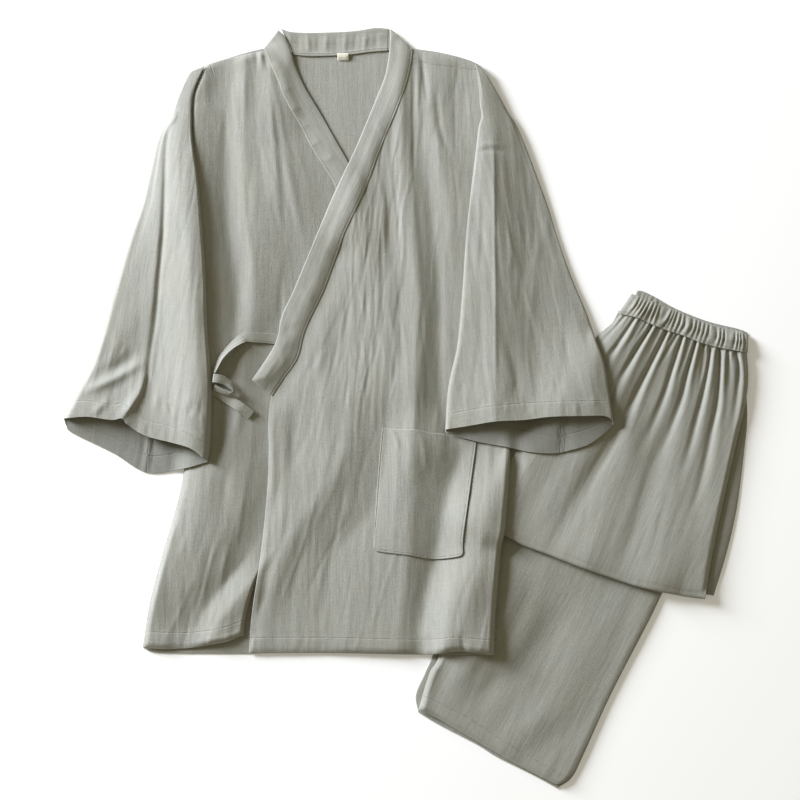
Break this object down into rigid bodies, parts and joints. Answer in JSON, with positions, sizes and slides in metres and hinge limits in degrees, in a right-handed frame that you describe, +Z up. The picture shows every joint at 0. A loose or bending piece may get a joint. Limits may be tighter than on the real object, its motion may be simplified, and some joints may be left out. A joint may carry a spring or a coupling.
{
  "type": "kimono pyjama set",
  "caption": "Kimono pyjama set laid flat: cotton wrap jacket with wide sleeves, band collar, side ties and pocket, over folded elastic-waist trousers.",
  "frame": {"origin": "on the resting surface, under the middle of the laid set's bounding box", "axes": "+Y from the jacket's hem to its collar, +X to the right of the set seen from above, +Z up off the surface"},
  "size_m": [0.8554, 0.9534, 0.0308],
  "materials": {
    "sage_gauze": "matt double-gauze cotton, sage grey",
    "cream_tape": "matt woven tape, cream"
  },
  "bodies": {
    "root": {"jacket_back": "sage_gauze", "jacket_front_right": "sage_gauze", "jacket_front_left": "sage_gauze", "sleeve_right": "sage_gauze", "sleeve_left": "sage_gauze", "collar_right": "sage_gauze", "collar_back": "sage_gauze", "collar_left": "sage_gauze", "pocket": "sage_gauze", "tie_collar": "sage_gauze", "tie_bow_loop": "sage_gauze", "tie_free_end": "sage_gauze", "neck_label": "cream_tape", "waistband_front": "sage_gauze", "waistband_back": "sage_gauze", "trouser_leg_upper": "sage_gauze", "trouser_leg_front": "sage_gauze", "trouser_leg_back": "sage_gauze", "trouser_folded_layers": "sage_gauze"}
  },
  "joints": []
}
